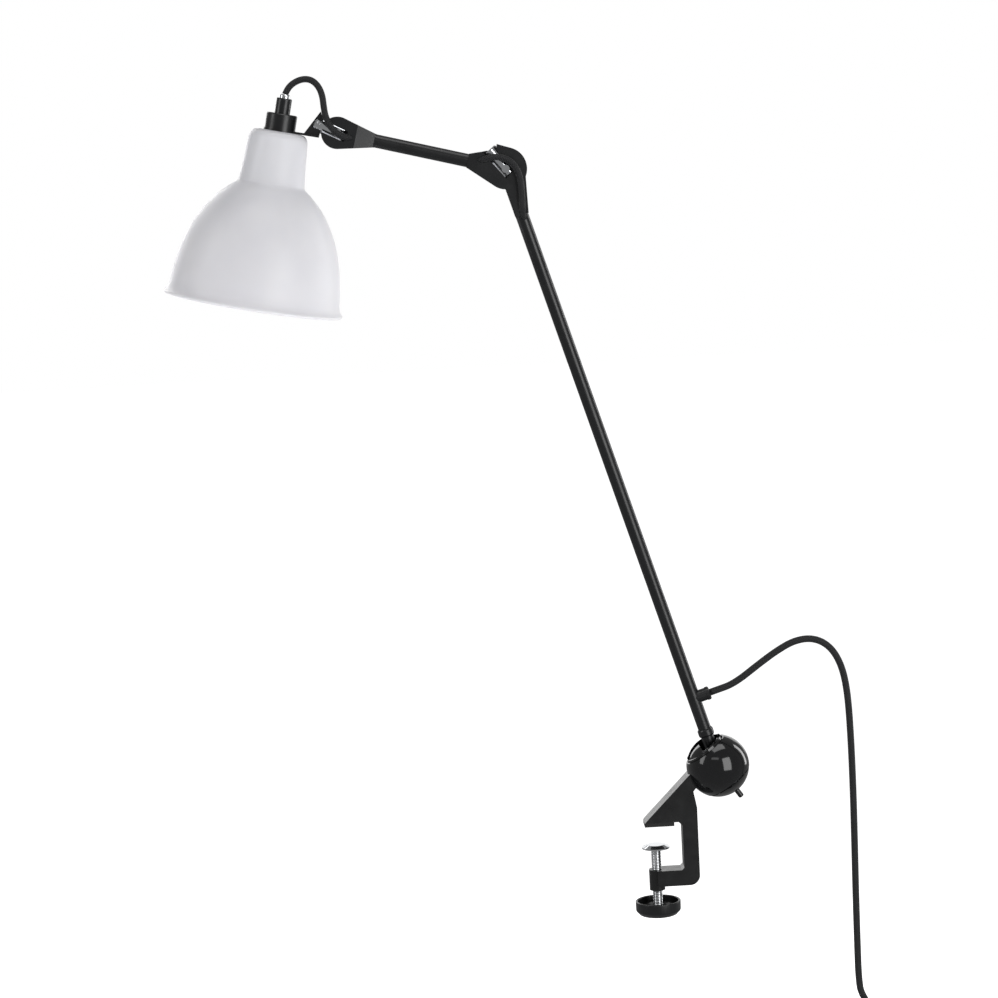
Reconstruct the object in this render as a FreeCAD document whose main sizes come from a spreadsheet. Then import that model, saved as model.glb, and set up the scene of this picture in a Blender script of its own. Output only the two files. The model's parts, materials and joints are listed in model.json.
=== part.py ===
import FreeCAD, Part
import math
import os
import Sketcher

# A clamp-on desk lamp with two arms, a ball joint at the clamp and a glass shade.
# The frame stands on the underside of the clamp's upper jaw: +X points away from the
# table, +Y points to the back of the lamp and +Z points up.

Vector = FreeCAD.Vector
AXIS_X = Vector(1, 0, 0)
AXIS_Y = Vector(0, 1, 0)
AXIS_Z = Vector(0, 0, 1)

SIZES = {
    # ball joint
    "ball_across": 49.0,
    "ball_up": 45.0,
    "ball_lean": 34.8,
    "ball_radius": 25.0,
    "belt_top": 16.8,
    "belt_bottom": 14.6,
    "belt_bore": 17.2,
    "ball_gap": 1.0,
    "cap_radius": 24.8,
    "skirt_outer": 17.14,
    "skirt_inner": 14.2,
    "skirt_floor": 12.4,
    "arm_slot": 11.4,
    "axle_radius": 2.25,
    "axle_end": 31.7,
    "axle_head": 4.2,
    "axle_head_top": 8.1,
    "washer_radius": 13.0,
    "pin_half": 16.0,
    "pin_radius": 2.5,
    "running_fit": 0.05,
    # arms
    "arm_lean": 16.8,
    "arm_length": 501.4,
    "tube_radius": 5.2,
    "tube_bore": 4.0,
    "shank_radius": 3.97,
    "lead_radius": 2.5,
    "lead_bore": 2.65,
    "foot_width": 9.8,
    "foot_radius": 7.5,
    "collar_start": 26.0,
    "collar_end": 32.0,
    "collar_radius": 6.3,
    "gland_at": 58.0,
    "gland_face": 13.5,
    "gland_radius": 5.0,
    "gland_door": 3.6,
    "hook_end": 38.0,
    "hook_radius": 16.6,
    "hook_tip": 20.2,
    "hook_depth": 10.8,
    "short_rise": 14.9,
    "short_length": 132.8,
    # hinge joints
    "barrel_radius": 6.0,
    "barrel_length": 24.6,
    "barrel_pivot": 5.3,
    "barrel_lean": 21.8,
    "cheek_inner": 6.3,
    "cheek_outer": 8.5,
    "elbow_web": 21.2,
    "elbow_socket": 30.0,
    "elbow_hub": 15.8,
    "head_web": 13.6,
    "head_socket": 29.0,
    "head_hub": 12.4,
    "nut_radius": 4.2,
    "nut_height": 3.0,
    # lamp head
    "head_lean": 12.1,
    "pivot_across": 44.2,
    "pivot_up": 6.0,
    "plate": 1.6,
    "plate_reach": 30.7,
    "lower_collar": 12.0,
    "lower_collar_end": 13.6,
    "upper_neck": 6.0,
    "upper_neck_end": 25.6,
    "grip": 4.2,
    "grip_end": 28.6,
    "shade_height": 135.0,
    "shade_rim": 70.0,
    "shade_wall": 3.0,
    "neck_top": 23.0,
    "neck_foot": 25.7,
    "neck_height": 42.0,
    "nipple": 5.0,
    "socket_radius": 13.6,
    "socket_end": 40.0,
    "bulb_cap_radius": 6.9,
    "bulb_radius": 22.5,
    "bulb_centre": 84.0,
    "insulator_top": 10.0,
    "insulator_floor": 16.0,
    "insulator_end": 38.0,
    "insulator_bore": 8.6,
    "thread_inner": 7.2,
    "thread_outer": 8.5,
    "bulb_cap_top": 19.3,
    "bulb_cap_end": 46.0,
    # clamp
    "clamp_width": 18.0,
    "spine_inner": 18.2,
    "spine_outer": 30.4,
    "lower_arm_top": 36.2,
    "lower_arm_bottom": 48.8,
    "boss_radius": 6.2,
    "boss_end": 52.8,
    "screw_across": 3.3,
    "screw_radius": 4.0,
    "thread_bore": 4.1,
    "screw_end": 68.5,
    "pad_top": 16.0,
    "pad_height": 4.0,
    "pad_radius": 11.0,
    "pad_face": 7.0,
    "pad_socket": 3.05,
    "screw_tip": 3.0,
    "screw_top": 17.5,
    "wheel_seat": 67.2,
    "wheel_dish": 9.7,
    "wheel_cap_radius": 5.6,
    "wheel_cap_end": 14.0,
    "wheel_radius": 18.0,
    "wheel_top": 61.5,
    "wheel_depth": 11.5,
    "wheel_wall": 1.8,
    "jaw_plate": 3.0,
    "jaw_reach": 11.7,
    # power cord
    "cord_radius": 2.75,
    "tail_length": 14.0,
    "relief_length": 22.0,
    "relief_top": 3.4,
    "relief_bottom": 5.2,
    "plug_wide": 26.0,
    "plug_thick": 13.0,
    "plug_long": 30.0,
    "plug_pin_radius": 2.0,
    "plug_pin_long": 19.0,
    "plug_pin_spread": 9.5,
    "coil_across": 155.0,
    "coil_down": 200.0,
    "coil_major": 33.0,
    "coil_minor": 9.0,
}

document = FreeCAD.newDocument("desk_lamp")
dimensions = document.addObject("Spreadsheet::Sheet", "dimensions")
for row, (alias, size) in enumerate(SIZES.items(), start=1):
    dimensions.set(f"A{row}", alias)
    dimensions.set(f"B{row}", str(size))
    dimensions.setAlias(f"B{row}", alias)
document.recompute()

NODES = []


def number(words):
    """The value of a sum of sizes, such as "ball_gap + belt_top"."""
    total = 0.0
    sign = 1.0
    for word in str(words).split():
        if word in "+-":
            sign = 1.0 if word == "+" else -1.0
        elif word.startswith("-") and word[1:] in SIZES:
            total -= SIZES[word[1:]]
        else:
            total += sign * (SIZES[word] if word in SIZES else float(word))
    return total


def formula(words):
    """The same sum as an expression on the sheet."""
    parts = []
    for word in str(words).split():
        bare = word.lstrip("-")
        minus = "-" if word.startswith("-") and word != "-" else ""
        if bare in SIZES:
            parts.append(f"{minus}dimensions.{bare}")
        else:
            parts.append(word)
    return " ".join(parts)


def bind(thing, **sizes):
    """Bind properties of an object to sums of sizes."""
    for prop, words in sizes.items():
        thing.setExpression(prop, formula(words))
    return thing


def node(thing, label, frame=None):
    """Name a finished sub-part and put it in its place."""
    thing.Label = label
    if frame is not None:
        thing.Placement = frame
    NODES.append(thing)
    return thing


# ---- frames ---------------------------------------------------------------

def leaning(point, degrees):
    return FreeCAD.Placement(point, FreeCAD.Rotation(AXIS_Y, degrees))


BALL_CENTRE = Vector(SIZES["ball_across"], 0, SIZES["ball_up"])
BALL = leaning(BALL_CENTRE, -SIZES["ball_lean"])
ARM = leaning(BALL_CENTRE, -SIZES["arm_lean"])
ELBOW = ARM.multVec(Vector(0, 0, SIZES["arm_length"]))
ARM_TOP = leaning(ELBOW, -SIZES["arm_lean"])
SHORT = leaning(ELBOW, SIZES["short_rise"])
HEAD_PIVOT = SHORT.multVec(Vector(-SIZES["short_length"], 0, 0))
SHORT_HEAD = leaning(HEAD_PIVOT, SIZES["short_rise"])
HEAD_TURN = FreeCAD.Rotation(AXIS_Y, SIZES["head_lean"])
SHADE_TOP = HEAD_PIVOT - HEAD_TURN.multVec(Vector(SIZES["pivot_across"], 0, SIZES["pivot_up"]))
HEAD = FreeCAD.Placement(SHADE_TOP, HEAD_TURN)
SCREW = FreeCAD.Placement(Vector(-SIZES["screw_across"], 0, 0), FreeCAD.Rotation())


# ---- building helpers -----------------------------------------------------

def origin_plane(body, role):
    return next(f for f in body.Origin.OriginFeatures if f.Role == role)


def closed_outline(sketch, points):
    """A closed outline whose corners are held by sums of sizes."""
    corners = [Vector(number(across), number(up), 0) for across, up in points]
    count = len(corners)
    for index in range(count):
        sketch.addGeometry(Part.LineSegment(corners[index], corners[(index + 1) % count]))
    for index in range(count):
        sketch.addConstraint(Sketcher.Constraint("Coincident", index, 2, (index + 1) % count, 1))
    for index, (across, up) in enumerate(points):
        for kind, words in (("DistanceX", across), ("DistanceY", up)):
            held = sketch.addConstraint(Sketcher.Constraint(kind, -1, 1, index, 1, number(words)))
            sketch.setExpression(f"Constraints[{held}]", formula(words))


def body_sketch(body, role, points, name):
    sketch = body.newObject("Sketcher::SketchObject", name)
    sketch.AttachmentSupport = [(origin_plane(body, role), "")]
    sketch.MapMode = "FlatFace"
    closed_outline(sketch, points)
    return sketch


def turned(label, points, frame=None, keep=True):
    """A piece turned about its own Z axis from (radius, height) corners."""
    body = document.addObject("PartDesign::Body", label + "_body")
    sketch = body_sketch(body, "XZ_Plane", points, label + "_outline")
    turn = body.newObject("PartDesign::Revolution", label + "_turn")
    turn.Profile = sketch
    turn.ReferenceAxis = (sketch, ["V_Axis"])
    turn.Angle = 360.0
    sketch.Visibility = False
    return node(body, label, frame) if keep else body


def padded(label, role, points, depth, frame=None, keep=True):
    """A flat piece: an outline on one of its own planes, padded both ways."""
    body = document.addObject("PartDesign::Body", label + "_body")
    sketch = body_sketch(body, role, points, label + "_outline")
    pad = body.newObject("PartDesign::Pad", label + "_pad")
    pad.Profile = sketch
    pad.Midplane = True
    bind(pad, Length=depth)
    return node(body, label, frame) if keep else body


def cylinder(radius, height, base=Vector(), axis=AXIS_Z):
    """A round bar that starts at base and runs along axis."""
    bar = document.addObject("Part::Cylinder", "bar")
    bind(bar, Radius=radius, Height=height)
    bar.Placement = FreeCAD.Placement(base, FreeCAD.Rotation(AXIS_Z, axis))
    return bar


def box(length, width, height, corner):
    block = document.addObject("Part::Box", "block")
    bind(block, Length=length, Width=width, Height=height)
    block.Placement = FreeCAD.Placement(corner, FreeCAD.Rotation())
    return block


def solid(shape, name="shape"):
    thing = document.addObject("Part::Feature", name)
    thing.Shape = shape
    return thing


def fuse(*things):
    joined = document.addObject("Part::MultiFuse", "fuse")
    joined.Shapes = list(things)
    joined.Refine = True
    return joined


def cut(base, *tools):
    result = base
    for tool in tools:
        step = document.addObject("Part::Cut", "cut")
        step.Base = result
        step.Tool = tool
        result = step
    return result


def common(first, second):
    result = document.addObject("Part::Common", "common")
    result.Base = first
    result.Tool = second
    return result


def prism(outline, depth):
    """An outline in the XZ plane, given as edges, thickened evenly about Y."""
    face = Part.Face(Part.Wire(outline))
    face.translate(Vector(0, -depth / 2, 0))
    return solid(face.extrude(Vector(0, depth, 0)), "prism")


def lines(points):
    """Straight edges through (x, z) points."""
    corners = [Vector(x, 0, z) for x, z in points]
    return [Part.makeLine(a, b) for a, b in zip(corners, corners[1:])]


def on_circle(radius, degrees):
    """A point of a circle in the XZ plane, counted from +X towards +Z."""
    turn = math.radians(degrees)
    return (radius * math.cos(turn), radius * math.sin(turn))


def arc(radius, start, end):
    """A round edge about the origin of the XZ plane."""
    places = [on_circle(radius, a) for a in (start, (start + end) / 2, end)]
    return Part.Arc(*[Vector(x, 0, z) for x, z in places]).toShape()


# ---- routes for cords and leads ------------------------------------------

def rounded_route(points):
    """Straight runs joined by tangent arcs, each as large as its runs allow."""
    radii = []
    edges = []
    start = points[0]
    for before, corner, after in zip(points, points[1:], points[2:]):
        arriving = corner - before
        leaving = after - corner
        half = arriving.getAngle(leaving) / 2
        reach = 0.45 * min(arriving.Length, leaving.Length)
        radii.append(reach / math.tan(half))
        arriving.normalize()
        leaving.normalize()
        begin = corner - arriving * reach
        finish = corner + leaving * reach
        inward = leaving - arriving
        inward.normalize()
        middle = corner + inward * (radii[-1] / math.cos(half) - radii[-1])
        edges.append(Part.LineSegment(start, begin).toShape())
        edges.append(Part.Arc(begin, middle, finish).toShape())
        start = finish
    edges.append(Part.LineSegment(start, points[-1]).toShape())
    return Part.Wire(edges), radii


def round_tube(points, radius, name):
    """A round bar along a route, checked against its section times its length."""
    route, radii = rounded_route(points)
    along = points[1] - points[0]
    section = Part.Wire([Part.makeCircle(radius, points[0], along)])
    shape = route.makePipeShell([section], True, False, 2)
    share = shape.Volume / (math.pi * radius ** 2 * route.Length)
    print(name, "length", round(route.Length, 1), "volume share", round(share, 4),
          "radii", [round(r, 1) for r in radii])
    return shape


def placed(frame, places):
    return [frame.multVec(Vector(*place)) for place in places]


# ---- clamp ----------------------------------------------------------------

def clamp_frame():
    """The cast C with its neck, and the fixed belt of the ball on top."""
    width = SIZES["clamp_width"]
    jaw = SIZES["jaw_plate"]
    inner = SIZES["spine_inner"]
    outer = SIZES["spine_outer"]
    low = -SIZES["lower_arm_bottom"]
    shelf = -SIZES["lower_arm_top"]
    corner = 8.0
    across = SIZES["screw_across"]
    outline = lines([
        (36.0, 48.0), (27.6, 42.8), (-10.0, 5.0), (-SIZES["jaw_reach"], jaw), (inner - 3, jaw),
        (inner, 0.0), (inner, shelf + 2), (inner - 2, shelf), (-across, shelf), (-across, low),
        (outer - corner, low)])
    outline.append(Part.Arc(Vector(outer - corner, 0, low),
                            Vector(outer - corner * 0.293, 0, low + corner * 0.293),
                            Vector(outer, 0, low + corner)).toShape())
    outline += lines([(outer, low + corner), (outer, 14.0), (28.0, 27.0), (34.0, 34.0), (36.0, 48.0)])
    frame = prism(outline, width)
    boss = cylinder("boss_radius", "boss_end - lower_arm_top", Vector(-across, 0, -SIZES["boss_end"]))
    ball = document.addObject("Part::Sphere", "ball")
    bind(ball, Radius="ball_radius")
    ball.Placement = BALL
    slab = cylinder("ball_radius + 1", "belt_top + belt_bottom",
                    BALL.multVec(Vector(0, 0, -SIZES["belt_bottom"])), BALL.Rotation.multVec(AXIS_Z))
    belt = common(ball, slab)
    bore = cylinder("belt_bore", "ball_radius + ball_radius",
                    BALL.multVec(Vector(0, 0, -SIZES["ball_radius"])), BALL.Rotation.multVec(AXIS_Z))
    keep_clear = cylinder("ball_radius + 6", "ball_radius + 8",
                          BALL.multVec(Vector(0, 0, -SIZES["belt_bottom"])),
                          BALL.Rotation.multVec(Vector(0, 0, -1)))
    thread = cylinder("thread_bore", "boss_end", Vector(-across, 0, -SIZES["boss_end"] - 1))
    body = cut(fuse(cut(frame, keep_clear), boss, belt), bore, thread)
    node(body, "clamp_frame")


def clamp_parts():
    padded("jaw_pad", "XZ_Plane",
           [("-jaw_reach", "0"), ("jaw_reach", "0"), ("jaw_reach", "jaw_plate"), ("-jaw_reach", "jaw_plate")],
           "clamp_width")
    turned("pressure_pad",
           [("0", "-1"), ("pad_face", "-1"), ("pad_radius", "-3"), ("pad_radius", "-pad_height"),
            ("pad_socket", "-pad_height"), ("pad_socket", "-2.4"), ("0", "-2.4")],
           SCREW * FreeCAD.Placement(Vector(0, 0, 1 - SIZES["pad_top"]), FreeCAD.Rotation()))
    turned("clamp_screw",
           [("0", "-screw_top"), ("screw_tip", "-screw_top"), ("screw_tip", "-screw_top - 2"),
            ("screw_radius", "-screw_top - 3"),
            ("screw_radius", "-screw_end"), ("0", "-screw_end")], SCREW)
    turned("hand_wheel",
           [("screw_radius", "-wheel_seat"), ("7", "-wheel_seat"), ("8", "-wheel_top - wheel_dish"),
            ("wheel_radius - 3.4", "-wheel_top - wheel_dish"),
            ("wheel_radius - wheel_wall", "-wheel_top - 6"), ("wheel_radius - wheel_wall", "-wheel_top"),
            ("wheel_radius", "-wheel_top"), ("wheel_radius", "-wheel_top - 8"),
            ("wheel_radius - 3.5", "-wheel_top - wheel_depth"), ("screw_radius", "-wheel_top - wheel_depth")],
           SCREW)
    turned("wheel_cap",
           [("0", "-screw_end"), ("screw_radius", "-screw_end"), ("screw_radius", "-wheel_top - wheel_depth"),
            ("wheel_cap_radius", "-wheel_top - wheel_depth"),
            ("wheel_cap_radius", "-wheel_top - wheel_cap_end + 1"),
            ("wheel_cap_radius - 1.4", "-wheel_top - wheel_cap_end"),
            ("0", "-wheel_top - wheel_cap_end")], SCREW)


# ---- ball joint -----------------------------------------------------------

def ball_upper_cap():
    """The turning half: a dome with a skirt inside the belt, slotted for the arm."""
    bottom = SIZES["belt_top"] + SIZES["ball_gap"]
    dome = document.addObject("Part::Sphere", "dome")
    bind(dome, Radius="cap_radius")
    slab = cylinder("ball_radius", "ball_radius", Vector(0, 0, bottom))
    skirt = cylinder("skirt_outer", "skirt_floor + belt_top + ball_gap + 1",
                     Vector(0, 0, -SIZES["skirt_floor"]))
    hollow = cylinder("skirt_inner", "skirt_floor + belt_top",
                      Vector(0, 0, -SIZES["skirt_floor"] + 3))
    slot_width = SIZES["arm_slot"]
    slot = box("46", "arm_slot", "40", Vector(-23, -slot_width / 2, 1))
    room = cylinder("skirt_inner", "belt_top - 4", Vector(0, 0, 7))
    window = box("15", "ball_radius", "ball_radius", Vector(-1.5, -SIZES["ball_radius"], bottom + 1.6))
    pin_hole = cylinder("pin_radius", "40", Vector(0, -20, 0), AXIS_Y)
    axle_hole = cylinder("axle_radius", "8", Vector(0, 0, -SIZES["skirt_floor"] - 2))
    cap = cut(fuse(common(dome, slab), skirt), hollow, slot, room, window, pin_hole, axle_hole)
    node(cap, "ball_upper_cap", BALL)


def ball_parts():
    lower = document.addObject("Part::Sphere", "lower")
    bind(lower, Radius="cap_radius")
    slab = cylinder("ball_radius", "ball_radius",
                    Vector(0, 0, -SIZES["belt_bottom"] - SIZES["ball_gap"]), Vector(0, 0, -1))
    hole = cylinder("axle_radius", "30", Vector(0, 0, -5), Vector(0, 0, -1))
    node(cut(common(lower, slab), hole), "ball_lower_cap", BALL)
    turned("ball_axle",
           [("0", "-axle_head_top"), ("axle_head", "-axle_head_top"), ("axle_head", "-skirt_floor + 3"),
            ("axle_radius", "-skirt_floor + 3"),
            ("axle_radius", "-axle_end + 0.6"), ("axle_radius - 0.6", "-axle_end"), ("0", "-axle_end")], BALL)
    turned("ball_spring_washer",
           [("axle_radius + 0.3", "-skirt_floor - 0.2"), ("washer_radius - 1", "-skirt_floor - 0.2"),
            ("washer_radius", "-skirt_floor - 1.4"), ("washer_radius", "-skirt_floor - 2.9"),
            ("washer_radius - 2", "-skirt_floor - 2.9"),
            ("axle_radius + 0.3", "-skirt_floor - 1.2")], BALL)
    pin = cylinder("pin_radius", "pin_half + pin_half")
    front = BALL.multVec(AXIS_Y * -SIZES["pin_half"])
    node(pin, "arm_pivot_pin", FreeCAD.Placement(front, FreeCAD.Rotation(AXIS_Z, AXIS_Y)))


# ---- long arm -------------------------------------------------------------

def long_arm():
    eye = cylinder("foot_radius", "foot_width", Vector(0, -SIZES["foot_width"] / 2, 0), AXIS_Y)
    shank = cylinder("shank_radius", "30", Vector(0, 0, 0))
    neck = cylinder("tube_radius", "foot_radius + 4", Vector(0, 0, 0))
    bore = cylinder("pin_radius + running_fit", "30", Vector(0, -15, 0), AXIS_Y)
    node(cut(fuse(eye, shank, neck), bore), "arm_foot", ARM)
    tube = turned("long_arm_tube",
                  [("tube_bore", "foot_radius + 4"), ("tube_radius", "foot_radius + 4"),
                   ("tube_radius", "arm_length - hook_end"), ("tube_bore", "arm_length - hook_end")],
                  None, keep=False)
    door = cylinder("gland_door", "9", Vector(0, 0, SIZES["gland_at"]), AXIS_X)
    node(cut(tube, door, elbow_lead_room(SIZES["arm_length"])), "long_arm_tube", ARM)
    turned("arm_collar",
           [("tube_radius", "collar_start"), ("collar_radius - 0.5", "collar_start"),
            ("collar_radius", "collar_start + 1"), ("collar_radius", "collar_end - 1"),
            ("collar_radius - 0.6", "collar_end"), ("tube_radius", "collar_end")], ARM)
    sideways = ARM * FreeCAD.Placement(Vector(0, 0, SIZES["gland_at"]), FreeCAD.Rotation(AXIS_Y, 90))
    saddle = cylinder("tube_radius", "30", Vector(15, 0, 0), Vector(-1, 0, 0))
    boss = cylinder("gland_radius", "gland_face - 3", Vector(0, 0, 0))
    through = cylinder("cord_radius", "gland_face + 2", Vector(0, 0, 0))
    node(cut(boss, saddle, through), "cord_gland", sideways)
    turned("gland_nut",
           [("cord_radius", "gland_face - 3"), ("gland_radius + 0.4", "gland_face - 3"),
            ("gland_radius + 0.4", "gland_face - 0.8"), ("gland_radius - 0.4", "gland_face"),
            ("cord_radius", "gland_face")], sideways)


HOOK_NECK_ANGLE = -40.0


def barrel_axis_in_arm():
    lean = math.radians(SIZES["barrel_lean"])
    return Vector(-math.sin(lean), 0, math.cos(lean))


def long_arm_hook():
    """The hook that ends the long arm: it wraps round the chrome barrel."""
    radius = SIZES["hook_radius"]
    tip = SIZES["hook_tip"]
    side = SIZES["tube_radius"] + 0.2
    leave = 90.0 - math.degrees(math.acos(radius / tip))
    first = on_circle(radius, leave)
    last = on_circle(radius, HOOK_NECK_ANGLE)
    outline = lines([(-1.2, 12.6), (-1.4, 17.0), (0.0, tip), first])
    outline.append(arc(radius, leave, HOOK_NECK_ANGLE))
    outline += lines([last, (side, -SIZES["hook_end"]), (-side, -SIZES["hook_end"]), (-side, -13.0),
                      (-4.4, -8.6), (5.0, -3.0), (-1.2, 12.6)])
    along = barrel_axis_in_arm()
    seat = cylinder("barrel_radius", "barrel_length", along * -SIZES["barrel_pivot"], along)
    shank = cylinder("shank_radius", "24", Vector(0, 0, -SIZES["hook_end"] - 16))
    hook = cut(fuse(prism(outline, SIZES["hook_depth"]), shank), seat, elbow_lead_room())
    node(hook, "long_arm_hook", ARM_TOP)


ROOM_BOTTOM = 56.0

# The elbow's lead leaves the short arm's fork, crosses in front of the barrel and the
# hook, and goes into the long tube. Places are from the elbow's pin, in the arm's frame.
ELBOW_LEAD = [(-26.6, 0.0, 16.0), (-22.0, -2.2, 14.6), (-17.4, -5.8, 13.4), (-12.0, -8.6, 12.6),
              (-5.6, -9.2, 11.9), (0.6, -9.1, 9.2), (5.4, -8.9, 4.4), (8.0, -8.8, -2.0),
              (8.2, -8.8, -9.4), (6.8, -8.7, -17.0), (4.6, -8.1, -24.6), (2.4, -6.6, -31.8),
              (0.8, -3.6, -38.4), (0.0, -1.0, -45.4), (0.0, 0.0, -52.6)]


def elbow_lead_room(elbow_height=0.0):
    """The groove that the lead needs in the hook, its shank and the long tube."""
    points = [Vector(*place) + AXIS_Z * elbow_height for place in ELBOW_LEAD[:-1]]
    points.append(AXIS_Z * (elbow_height - ROOM_BOTTOM))
    return solid(round_tube(points, SIZES["lead_radius"] + 0.25, "lead room"), "lead_room")


def barrel(label, frame):
    """The turned chrome barrel with rings at its ends and a cross hole."""
    ring = 0.5
    deep = "barrel_radius - 0.5"
    corners = [("0", "0"), ("barrel_radius - 0.8", "0"), ("barrel_radius", "0.8")]
    for start in (2.2, 4.2):
        corners += [("barrel_radius", f"{start}"), (deep, f"{start + 0.1}"),
                    (deep, f"{start + ring}"), ("barrel_radius", f"{start + ring + 0.1}")]
    for start in (4.8, 2.8):
        corners += [("barrel_radius", f"barrel_length - {start}"), (deep, f"barrel_length - {start - 0.1}"),
                    (deep, f"barrel_length - {start - ring}"),
                    ("barrel_radius", f"barrel_length - {start - ring - 0.1}")]
    corners += [("barrel_radius", "barrel_length - 0.8"), ("barrel_radius - 0.8", "barrel_length"),
                ("0", "barrel_length")]
    bar = turned(label + "_bar", corners, None, keep=False)
    hole = cylinder("pin_radius + running_fit", "20", Vector(0, -10, SIZES["barrel_pivot"]), AXIS_Y)
    flat = Vector(0, 1.2 - SIZES["barrel_radius"], SIZES["barrel_pivot"])
    head = cylinder("3.1", "4", flat, Vector(0, -1, 0))
    node(cut(bar, hole, head), label, frame)


def pivot_screw(label, frame):
    """A socket screw through the barrel; its axis is the hinge."""
    shank = cylinder("pin_radius", "cheek_outer + 6", Vector(0, -5, 0), AXIS_Y)
    head = cylinder("3", "1.4", Vector(0, -6.2, 0), AXIS_Y)
    socket = document.addObject("Part::Prism", "hexagon")
    socket.Polygon = 6
    socket.Circumradius = 1.7
    socket.Height = 2.2
    socket.Placement = FreeCAD.Placement(Vector(0, -6.3, 0), FreeCAD.Rotation(AXIS_Z, AXIS_Y))
    node(cut(fuse(shank, head), socket), label, frame)


def pivot_nut(label, frame):
    """The domed nut and washer behind the hinge."""
    washer = cylinder("nut_radius + 1", "0.8", Vector(0, SIZES["cheek_outer"] + 0.1, 0), AXIS_Y)
    nut = cylinder("nut_radius", "nut_height", Vector(0, SIZES["cheek_outer"] + 0.9, 0), AXIS_Y)
    hole = cylinder("pin_radius", "40", Vector(0, -20, 0), AXIS_Y)
    node(cut(fuse(washer, nut), hole), label, frame)


# ---- short arm ------------------------------------------------------------

def fork(hub, web, socket, front_opening, lead_room):
    """A fork on a hinge at the origin; its arm runs along +X.

    It has a full cheek at the back and an opened cheek in front."""
    outer = SIZES["cheek_outer"]
    end = SIZES["tube_radius"] + 0.2
    rise = math.degrees(math.acos((hub - end) / socket)) - 2.0
    outline = [arc(hub, rise, 360.0 - rise)]
    low = on_circle(hub, -rise)
    high = on_circle(hub, rise)
    outline += lines([low, (socket, -end), (socket, end), high])
    blank = prism(outline, 2 * outer)
    taper = Part.makePolygon([Vector(-hub - 1, -outer, 0), Vector(web + 1, -outer, 0), Vector(socket, -end, 0),
                              Vector(socket, end, 0), Vector(web + 1, outer, 0), Vector(-hub - 1, outer, 0),
                              Vector(-hub - 1, -outer, 0)])
    side = Part.Face(taper)
    side.translate(Vector(0, 0, -hub - 1))
    sides = solid(side.extrude(Vector(0, 0, 2 * hub + 2)), "sides")
    inner = SIZES["cheek_inner"]
    gap = document.addObject("Part::Cylinder", "gap")
    gap.Radius = web
    gap.Height = 2 * inner
    gap.Placement = FreeCAD.Placement(Vector(0, -inner, 0), FreeCAD.Rotation(AXIS_Z, AXIS_Y))
    shank = cylinder("shank_radius", "20", Vector(socket - 4, 0, 0), AXIS_X)
    bore = cylinder("lead_bore", "40", Vector(socket - 5, 0, 0), AXIS_X)
    eye = cylinder("pin_radius + running_fit", "20", Vector(0, 2, 0), AXIS_Y)
    return cut(fuse(common(blank, sides), shank), gap, front_opening, bore, eye, lead_room)


def rotated_block(length, height, angle, centre):
    """A block in front of the hinge, turned about Y by angle degrees."""
    block = document.addObject("Part::Box", "opening")
    block.Length = length
    block.Width = 8
    block.Height = height
    turn = FreeCAD.Rotation(AXIS_Y, angle)
    corner = centre + turn.multVec(Vector(-length / 2, 0, -height / 2))
    block.Placement = FreeCAD.Placement(Vector(corner.x, -SIZES["cheek_outer"] - 3, corner.z), turn)
    return block


def short_arm():
    flip = FreeCAD.Rotation(AXIS_Y, 180)
    elbow_frame = FreeCAD.Placement(SHORT.Base, SHORT.Rotation.multiply(flip))
    into_elbow = elbow_frame.inverse().multiply(ARM_TOP)
    room = [into_elbow.multVec(Vector(*place)) for place in ELBOW_LEAD[:8]]
    elbow_room = solid(round_tube(room, SIZES["lead_radius"] + 0.3, "elbow room"), "elbow_room")
    # the front cheek stops short of the barrel: everything on its far side is open
    barrel_way = into_elbow.Rotation.multVec(barrel_axis_in_arm())
    angle = -math.degrees(math.atan2(barrel_way.z, barrel_way.x))
    across = Vector(-barrel_way.z, 0, barrel_way.x)
    towards_hook = into_elbow.Rotation.multVec(AXIS_X)
    if across.dot(towards_hook) < 0:
        across = across * -1
    opening = rotated_block(80, 40, angle, across * (20 - 4.7))
    node(fork(SIZES["elbow_hub"], SIZES["elbow_web"], SIZES["elbow_socket"], opening, elbow_room),
         "short_arm_elbow_fork", elbow_frame)
    turned("short_arm_tube",
           [("tube_bore", "elbow_socket"), ("tube_radius", "elbow_socket"),
            ("tube_radius", "short_length - head_socket - 1"), ("tube_bore", "short_length - head_socket - 1")],
           SHORT * FreeCAD.Placement(Vector(), FreeCAD.Rotation(AXIS_Y, -90)))
    turned("short_arm_ring",
           [("shank_radius", "short_length - head_socket - 1"),
            ("tube_radius + 0.2", "short_length - head_socket - 1"),
            ("tube_radius + 0.2", "short_length - head_socket"),
            ("shank_radius", "short_length - head_socket")],
           SHORT * FreeCAD.Placement(Vector(), FreeCAD.Rotation(AXIS_Y, -90)))
    into_head = SHORT_HEAD.inverse().multiply(HEAD)
    head_room_route = [into_head.multVec(Vector(*place)) for place in HEAD_LEAD[:9]]
    head_room = solid(round_tube(head_room_route, SIZES["lead_radius"] + 0.3, "head room"), "head_room")
    way = into_head.Rotation.multVec(HEAD_BARREL)
    slot = rotated_block(40, 8.6, -math.degrees(math.atan2(way.z, way.x)), way * 12.5)
    node(fork(SIZES["head_hub"], SIZES["head_web"], SIZES["head_socket"], slot, head_room),
         "short_arm_head_fork", SHORT_HEAD)


# ---- lamp head ------------------------------------------------------------

HEAD_BARREL_LEAN = 15.3
HEAD_BARREL = Vector(-math.cos(math.radians(HEAD_BARREL_LEAN)), 0, math.sin(math.radians(HEAD_BARREL_LEAN)))

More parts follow.
